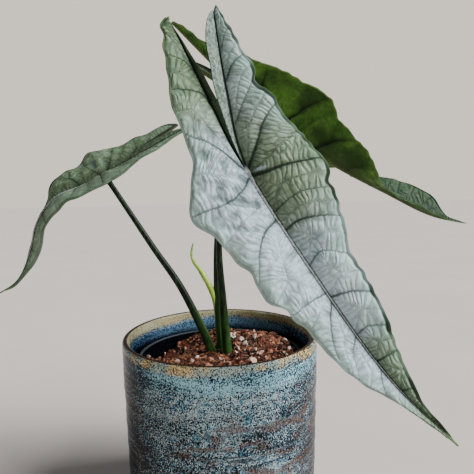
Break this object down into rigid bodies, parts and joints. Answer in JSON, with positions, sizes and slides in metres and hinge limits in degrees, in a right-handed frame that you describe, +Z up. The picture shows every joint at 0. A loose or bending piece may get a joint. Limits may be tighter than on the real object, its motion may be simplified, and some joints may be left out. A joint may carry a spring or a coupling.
{
  "type": "potted alocasia plant",
  "caption": "Potted aroid with arrow-shaped silver leaves on slender stems and a rolled new leaf, in a clear nursery pot inside a glazed cylindrical cover pot.",
  "frame": {"origin": "middle of the cover pot's flat foot, on the surface that it stands on", "axes": "+Z up, -Y towards the front of the plant, +X to the right as seen from the front"},
  "size_m": [0.3515, 0.1785, 0.3544],
  "materials": {
    "glaze": "speckled blue, teal and brown reactive glaze, honey-coloured at the rim, glossy",
    "clear_plastic": "thin clear plastic, slightly grey",
    "potting_mix": "red-brown coir crumbs with white grit, matt",
    "stem": "dark green plant stem, satin",
    "young_leaf": "yellow-green rolled leaf, satin",
    "leaf_blade": "silvery quilted leaf with dark veins and a green underside, satin"
  },
  "bodies": {
    "root": {"cover_pot": "glaze", "nursery_pot": "clear_plastic", "potting_mix": "potting_mix", "stem_front": "stem", "stem_back": "stem", "stem_left": "stem", "new_leaf": "young_leaf", "leaf_front": "leaf_blade", "leaf_left": "leaf_blade", "leaf_back": "leaf_blade"}
  },
  "joints": []
}
